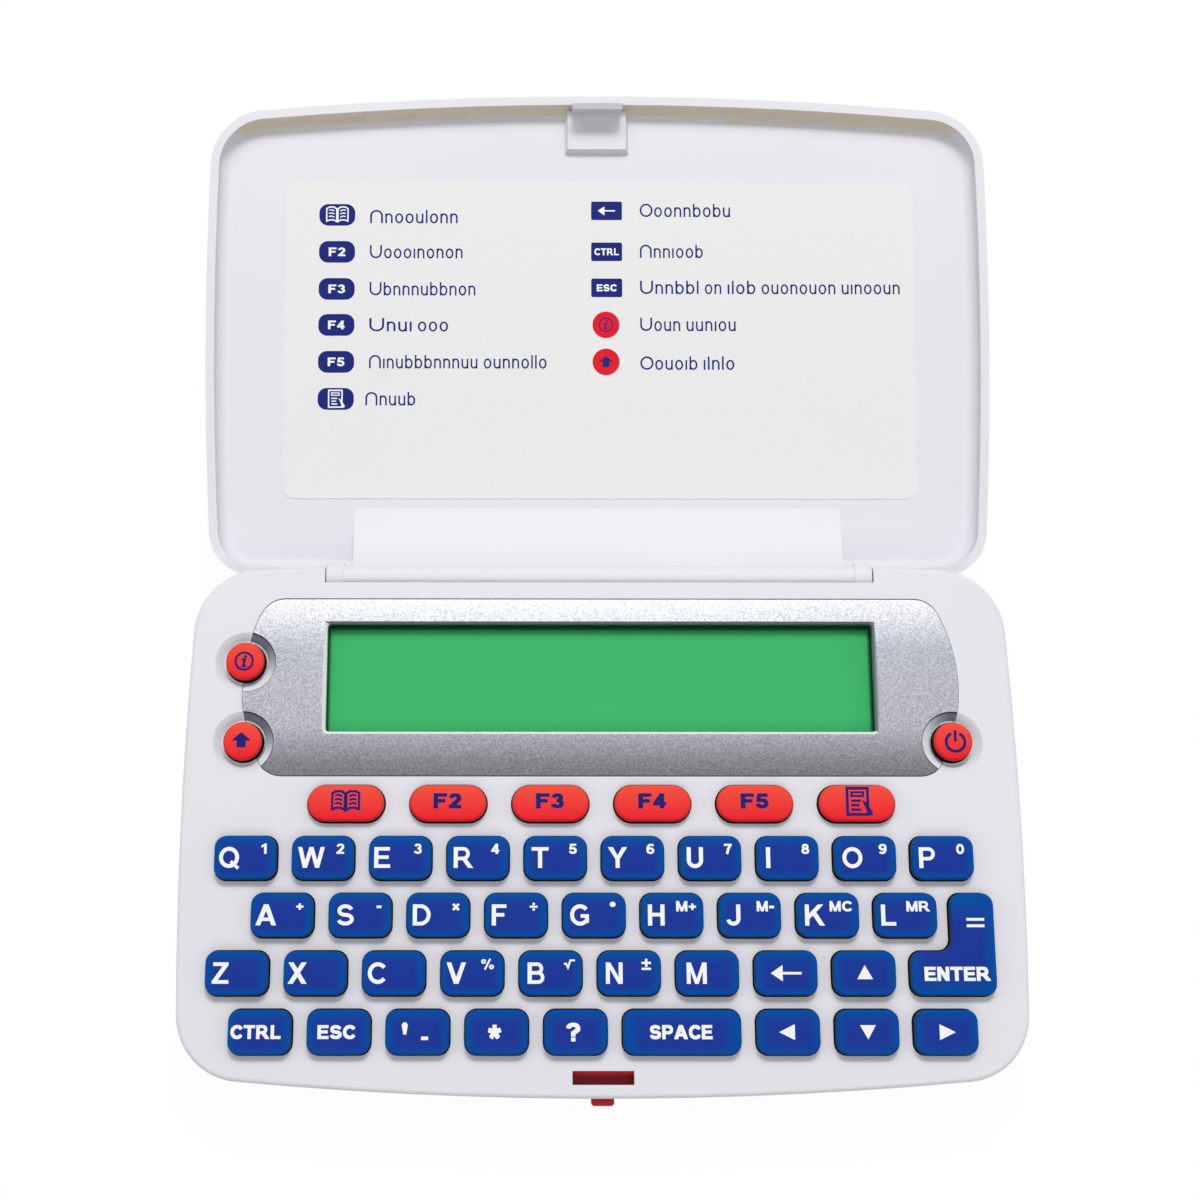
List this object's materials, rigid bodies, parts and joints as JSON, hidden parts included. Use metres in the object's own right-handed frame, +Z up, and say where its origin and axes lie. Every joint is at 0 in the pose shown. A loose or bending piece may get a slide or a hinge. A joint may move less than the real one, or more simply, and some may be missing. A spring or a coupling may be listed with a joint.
{
  "type": "electronic dictionary",
  "caption": "Pocket electronic dictionary with a hinged latching lid, a small keyboard, round and oval function keys and a wide liquid crystal display.",
  "frame": {"origin": "middle of the flat underside of the case", "axes": "+X to the right, +Y from the front edge to the hinge at the rear, +Z up out of the keyboard; the lid is stored open"},
  "size_m": [0.1398, 0.1739, 0.0278],
  "materials": {
    "housing": "satin white ABS",
    "blue_keys": "satin blue ABS",
    "red_rubber": "soft red silicone",
    "red_plastic": "glossy red ABS",
    "bezel": "metallic silver paint on plastic",
    "window": "clear acrylic",
    "display": "green liquid crystal panel",
    "board": "green solder mask",
    "mat": "translucent silicone",
    "cell_jacket": "black printed jacket",
    "screw_steel": "zinc plated",
    "spring_steel": "music wire"
  },
  "bodies": {
    "base": {"top_housing": "housing", "bottom_housing": "housing", "display_bezel": "bezel", "display_window": "window", "lcd_panel": "display", "circuit_board": "board", "keypad_mat": "mat", "battery_door": "housing", "battery_cells": "cell_jacket", "case_screws": "screw_steel", "latch_spring": "spring_steel"},
    "lid_body": {"lid": "housing"},
    "latch": {"latch_button": "red_plastic"},
    "key_q_body": {"key_q": "blue_keys"},
    "key_w_body": {"key_w": "blue_keys"},
    "key_e_body": {"key_e": "blue_keys"},
    "key_r_body": {"key_r": "blue_keys"},
    "key_t_body": {"key_t": "blue_keys"},
    "key_y_body": {"key_y": "blue_keys"},
    "key_u_body": {"key_u": "blue_keys"},
    "key_i_body": {"key_i": "blue_keys"},
    "key_o_body": {"key_o": "blue_keys"},
    "key_p_body": {"key_p": "blue_keys"},
    "key_a_body": {"key_a": "blue_keys"},
    "key_s_body": {"key_s": "blue_keys"},
    "key_d_body": {"key_d": "blue_keys"},
    "key_f_body": {"key_f": "blue_keys"},
    "key_g_body": {"key_g": "blue_keys"},
    "key_h_body": {"key_h": "blue_keys"},
    "key_j_body": {"key_j": "blue_keys"},
    "key_k_body": {"key_k": "blue_keys"},
    "key_l_body": {"key_l": "blue_keys"},
    "key_z_body": {"key_z": "blue_keys"},
    "key_x_body": {"key_x": "blue_keys"},
    "key_c_body": {"key_c": "blue_keys"},
    "key_v_body": {"key_v": "blue_keys"},
    "key_b_body": {"key_b": "blue_keys"},
    "key_n_body": {"key_n": "blue_keys"},
    "key_m_body": {"key_m": "blue_keys"},
    "key_backspace_body": {"key_backspace": "blue_keys"},
    "key_up_body": {"key_up": "blue_keys"},
    "key_ctrl_body": {"key_ctrl": "blue_keys"},
    "key_esc_body": {"key_esc": "blue_keys"},
    "key_quote_body": {"key_quote": "blue_keys"},
    "key_star_body": {"key_star": "blue_keys"},
    "key_question_body": {"key_question": "blue_keys"},
    "key_space_body": {"key_space": "blue_keys"},
    "key_left_body": {"key_left": "blue_keys"},
    "key_down_body": {"key_down": "blue_keys"},
    "key_right_body": {"key_right": "blue_keys"},
    "key_enter_body": {"key_enter": "blue_keys"},
    "key_book_body": {"key_book": "red_rubber"},
    "key_f2_body": {"key_f2": "red_rubber"},
    "key_f3_body": {"key_f3": "red_rubber"},
    "key_f4_body": {"key_f4": "red_rubber"},
    "key_f5_body": {"key_f5": "red_rubber"},
    "key_page_body": {"key_page": "red_rubber"},
    "key_info_body": {"key_info": "red_rubber"},
    "key_shift_body": {"key_shift": "red_rubber"},
    "key_power_body": {"key_power": "red_rubber"}
  },
  "joints": [
    {"name": "lid_hinge", "type": "hinge", "parent": "base", "child": "lid_body", "pos_m": [0, 0.0426, 0.015], "axis": [1, 0, 0], "range_deg": [0, 171.5]},
    {"name": "latch_slide", "type": "slide", "parent": "base", "child": "latch", "axis": [0, 1, 0], "range_m": [0, 0.00085], "stiffness_N_per_m": 300, "springref_m": -0.002, "deforming": ["latch_spring"]},
    {"name": "press_q", "type": "slide", "parent": "base", "child": "key_q_body", "axis": [0, 0, -1], "range_m": [0, 0.001], "stiffness_N_per_m": 120, "springref_m": -0.004, "deforming": ["keypad_mat"]},
    {"name": "press_w", "type": "slide", "parent": "base", "child": "key_w_body", "axis": [0, 0, -1], "range_m": [0, 0.001], "stiffness_N_per_m": 120, "springref_m": -0.004, "deforming": ["keypad_mat"]},
    {"name": "press_e", "type": "slide", "parent": "base", "child": "key_e_body", "axis": [0, 0, -1], "range_m": [0, 0.001], "stiffness_N_per_m": 120, "springref_m": -0.004, "deforming": ["keypad_mat"]},
    {"name": "press_r", "type": "slide", "parent": "base", "child": "key_r_body", "axis": [0, 0, -1], "range_m": [0, 0.001], "stiffness_N_per_m": 120, "springref_m": -0.004, "deforming": ["keypad_mat"]},
    {"name": "press_t", "type": "slide", "parent": "base", "child": "key_t_body", "axis": [0, 0, -1], "range_m": [0, 0.001], "stiffness_N_per_m": 120, "springref_m": -0.004, "deforming": ["keypad_mat"]},
    {"name": "press_y", "type": "slide", "parent": "base", "child": "key_y_body", "axis": [0, 0, -1], "range_m": [0, 0.001], "stiffness_N_per_m": 120, "springref_m": -0.004, "deforming": ["keypad_mat"]},
    {"name": "press_u", "type": "slide", "parent": "base", "child": "key_u_body", "axis": [0, 0, -1], "range_m": [0, 0.001], "stiffness_N_per_m": 120, "springref_m": -0.004, "deforming": ["keypad_mat"]},
    {"name": "press_i", "type": "slide", "parent": "base", "child": "key_i_body", "axis": [0, 0, -1], "range_m": [0, 0.001], "stiffness_N_per_m": 120, "springref_m": -0.004, "deforming": ["keypad_mat"]},
    {"name": "press_o", "type": "slide", "parent": "base", "child": "key_o_body", "axis": [0, 0, -1], "range_m": [0, 0.001], "stiffness_N_per_m": 120, "springref_m": -0.004, "deforming": ["keypad_mat"]},
    {"name": "press_p", "type": "slide", "parent": "base", "child": "key_p_body", "axis": [0, 0, -1], "range_m": [0, 0.001], "stiffness_N_per_m": 120, "springref_m": -0.004, "deforming": ["keypad_mat"]},
    {"name": "press_a", "type": "slide", "parent": "base", "child": "key_a_body", "axis": [0, 0, -1], "range_m": [0, 0.001], "stiffness_N_per_m": 120, "springref_m": -0.004, "deforming": ["keypad_mat"]},
    {"name": "press_s", "type": "slide", "parent": "base", "child": "key_s_body", "axis": [0, 0, -1], "range_m": [0, 0.001], "stiffness_N_per_m": 120, "springref_m": -0.004, "deforming": ["keypad_mat"]},
    {"name": "press_d", "type": "slide", "parent": "base", "child": "key_d_body", "axis": [0, 0, -1], "range_m": [0, 0.001], "stiffness_N_per_m": 120, "springref_m": -0.004, "deforming": ["keypad_mat"]},
    {"name": "press_f", "type": "slide", "parent": "base", "child": "key_f_body", "axis": [0, 0, -1], "range_m": [0, 0.001], "stiffness_N_per_m": 120, "springref_m": -0.004, "deforming": ["keypad_mat"]},
    {"name": "press_g", "type": "slide", "parent": "base", "child": "key_g_body", "axis": [0, 0, -1], "range_m": [0, 0.001], "stiffness_N_per_m": 120, "springref_m": -0.004, "deforming": ["keypad_mat"]},
    {"name": "press_h", "type": "slide", "parent": "base", "child": "key_h_body", "axis": [0, 0, -1], "range_m": [0, 0.001], "stiffness_N_per_m": 120, "springref_m": -0.004, "deforming": ["keypad_mat"]},
    {"name": "press_j", "type": "slide", "parent": "base", "child": "key_j_body", "axis": [0, 0, -1], "range_m": [0, 0.001], "stiffness_N_per_m": 120, "springref_m": -0.004, "deforming": ["keypad_mat"]},
    {"name": "press_k", "type": "slide", "parent": "base", "child": "key_k_body", "axis": [0, 0, -1], "range_m": [0, 0.001], "stiffness_N_per_m": 120, "springref_m": -0.004, "deforming": ["keypad_mat"]},
    {"name": "press_l", "type": "slide", "parent": "base", "child": "key_l_body", "axis": [0, 0, -1], "range_m": [0, 0.001], "stiffness_N_per_m": 120, "springref_m": -0.004, "deforming": ["keypad_mat"]},
    {"name": "press_z", "type": "slide", "parent": "base", "child": "key_z_body", "axis": [0, 0, -1], "range_m": [0, 0.001], "stiffness_N_per_m": 120, "springref_m": -0.004, "deforming": ["keypad_mat"]},
    {"name": "press_x", "type": "slide", "parent": "base", "child": "key_x_body", "axis": [0, 0, -1], "range_m": [0, 0.001], "stiffness_N_per_m": 120, "springref_m": -0.004, "deforming": ["keypad_mat"]},
    {"name": "press_c", "type": "slide", "parent": "base", "child": "key_c_body", "axis": [0, 0, -1], "range_m": [0, 0.001], "stiffness_N_per_m": 120, "springref_m": -0.004, "deforming": ["keypad_mat"]},
    {"name": "press_v", "type": "slide", "parent": "base", "child": "key_v_body", "axis": [0, 0, -1], "range_m": [0, 0.001], "stiffness_N_per_m": 120, "springref_m": -0.004, "deforming": ["keypad_mat"]},
    {"name": "press_b", "type": "slide", "parent": "base", "child": "key_b_body", "axis": [0, 0, -1], "range_m": [0, 0.001], "stiffness_N_per_m": 120, "springref_m": -0.004, "deforming": ["keypad_mat"]},
    {"name": "press_n", "type": "slide", "parent": "base", "child": "key_n_body", "axis": [0, 0, -1], "range_m": [0, 0.001], "stiffness_N_per_m": 120, "springref_m": -0.004, "deforming": ["keypad_mat"]},
    {"name": "press_m", "type": "slide", "parent": "base", "child": "key_m_body", "axis": [0, 0, -1], "range_m": [0, 0.001], "stiffness_N_per_m": 120, "springref_m": -0.004, "deforming": ["keypad_mat"]},
    {"name": "press_backspace", "type": "slide", "parent": "base", "child": "key_backspace_body", "axis": [0, 0, -1], "range_m": [0, 0.001], "stiffness_N_per_m": 120, "springref_m": -0.004, "deforming": ["keypad_mat"]},
    {"name": "press_up", "type": "slide", "parent": "base", "child": "key_up_body", "axis": [0, 0, -1], "range_m": [0, 0.001], "stiffness_N_per_m": 120, "springref_m": -0.004, "deforming": ["keypad_mat"]},
    {"name": "press_ctrl", "type": "slide", "parent": "base", "child": "key_ctrl_body", "axis": [0, 0, -1], "range_m": [0, 0.001], "stiffness_N_per_m": 120, "springref_m": -0.004, "deforming": ["keypad_mat"]},
    {"name": "press_esc", "type": "slide", "parent": "base", "child": "key_esc_body", "axis": [0, 0, -1], "range_m": [0, 0.001], "stiffness_N_per_m": 120, "springref_m": -0.004, "deforming": ["keypad_mat"]},
    {"name": "press_quote", "type": "slide", "parent": "base", "child": "key_quote_body", "axis": [0, 0, -1], "range_m": [0, 0.001], "stiffness_N_per_m": 120, "springref_m": -0.004, "deforming": ["keypad_mat"]},
    {"name": "press_star", "type": "slide", "parent": "base", "child": "key_star_body", "axis": [0, 0, -1], "range_m": [0, 0.001], "stiffness_N_per_m": 120, "springref_m": -0.004, "deforming": ["keypad_mat"]},
    {"name": "press_question", "type": "slide", "parent": "base", "child": "key_question_body", "axis": [0, 0, -1], "range_m": [0, 0.001], "stiffness_N_per_m": 120, "springref_m": -0.004, "deforming": ["keypad_mat"]},
    {"name": "press_space", "type": "slide", "parent": "base", "child": "key_space_body", "axis": [0, 0, -1], "range_m": [0, 0.001], "stiffness_N_per_m": 120, "springref_m": -0.004, "deforming": ["keypad_mat"]},
    {"name": "press_left", "type": "slide", "parent": "base", "child": "key_left_body", "axis": [0, 0, -1], "range_m": [0, 0.001], "stiffness_N_per_m": 120, "springref_m": -0.004, "deforming": ["keypad_mat"]},
    {"name": "press_down", "type": "slide", "parent": "base", "child": "key_down_body", "axis": [0, 0, -1], "range_m": [0, 0.001], "stiffness_N_per_m": 120, "springref_m": -0.004, "deforming": ["keypad_mat"]},
    {"name": "press_right", "type": "slide", "parent": "base", "child": "key_right_body", "axis": [0, 0, -1], "range_m": [0, 0.001], "stiffness_N_per_m": 120, "springref_m": -0.004, "deforming": ["keypad_mat"]},
    {"name": "press_enter", "type": "slide", "parent": "base", "child": "key_enter_body", "axis": [0, 0, -1], "range_m": [0, 0.001], "stiffness_N_per_m": 120, "springref_m": -0.004, "deforming": ["keypad_mat"]},
    {"name": "press_book", "type": "slide", "parent": "base", "child": "key_book_body", "axis": [0, 0, -1], "range_m": [0, 0.001], "stiffness_N_per_m": 120, "springref_m": -0.004, "deforming": ["keypad_mat"]},
    {"name": "press_f2", "type": "slide", "parent": "base", "child": "key_f2_body", "axis": [0, 0, -1], "range_m": [0, 0.001], "stiffness_N_per_m": 120, "springref_m": -0.004, "deforming": ["keypad_mat"]},
    {"name": "press_f3", "type": "slide", "parent": "base", "child": "key_f3_body", "axis": [0, 0, -1], "range_m": [0, 0.001], "stiffness_N_per_m": 120, "springref_m": -0.004, "deforming": ["keypad_mat"]},
    {"name": "press_f4", "type": "slide", "parent": "base", "child": "key_f4_body", "axis": [0, 0, -1], "range_m": [0, 0.001], "stiffness_N_per_m": 120, "springref_m": -0.004, "deforming": ["keypad_mat"]},
    {"name": "press_f5", "type": "slide", "parent": "base", "child": "key_f5_body", "axis": [0, 0, -1], "range_m": [0, 0.001], "stiffness_N_per_m": 120, "springref_m": -0.004, "deforming": ["keypad_mat"]},
    {"name": "press_page", "type": "slide", "parent": "base", "child": "key_page_body", "axis": [0, 0, -1], "range_m": [0, 0.001], "stiffness_N_per_m": 120, "springref_m": -0.004, "deforming": ["keypad_mat"]},
    {"name": "press_info", "type": "slide", "parent": "base", "child": "key_info_body", "axis": [0, 0, -1], "range_m": [0, 0.001], "stiffness_N_per_m": 120, "springref_m": -0.004, "deforming": ["keypad_mat"]},
    {"name": "press_shift", "type": "slide", "parent": "base", "child": "key_shift_body", "axis": [0, 0, -1], "range_m": [0, 0.001], "stiffness_N_per_m": 120, "springref_m": -0.004, "deforming": ["keypad_mat"]},
    {"name": "press_power", "type": "slide", "parent": "base", "child": "key_power_body", "axis": [0, 0, -1], "range_m": [0, 0.001], "stiffness_N_per_m": 120, "springref_m": -0.004, "deforming": ["keypad_mat"]}
  ]
}
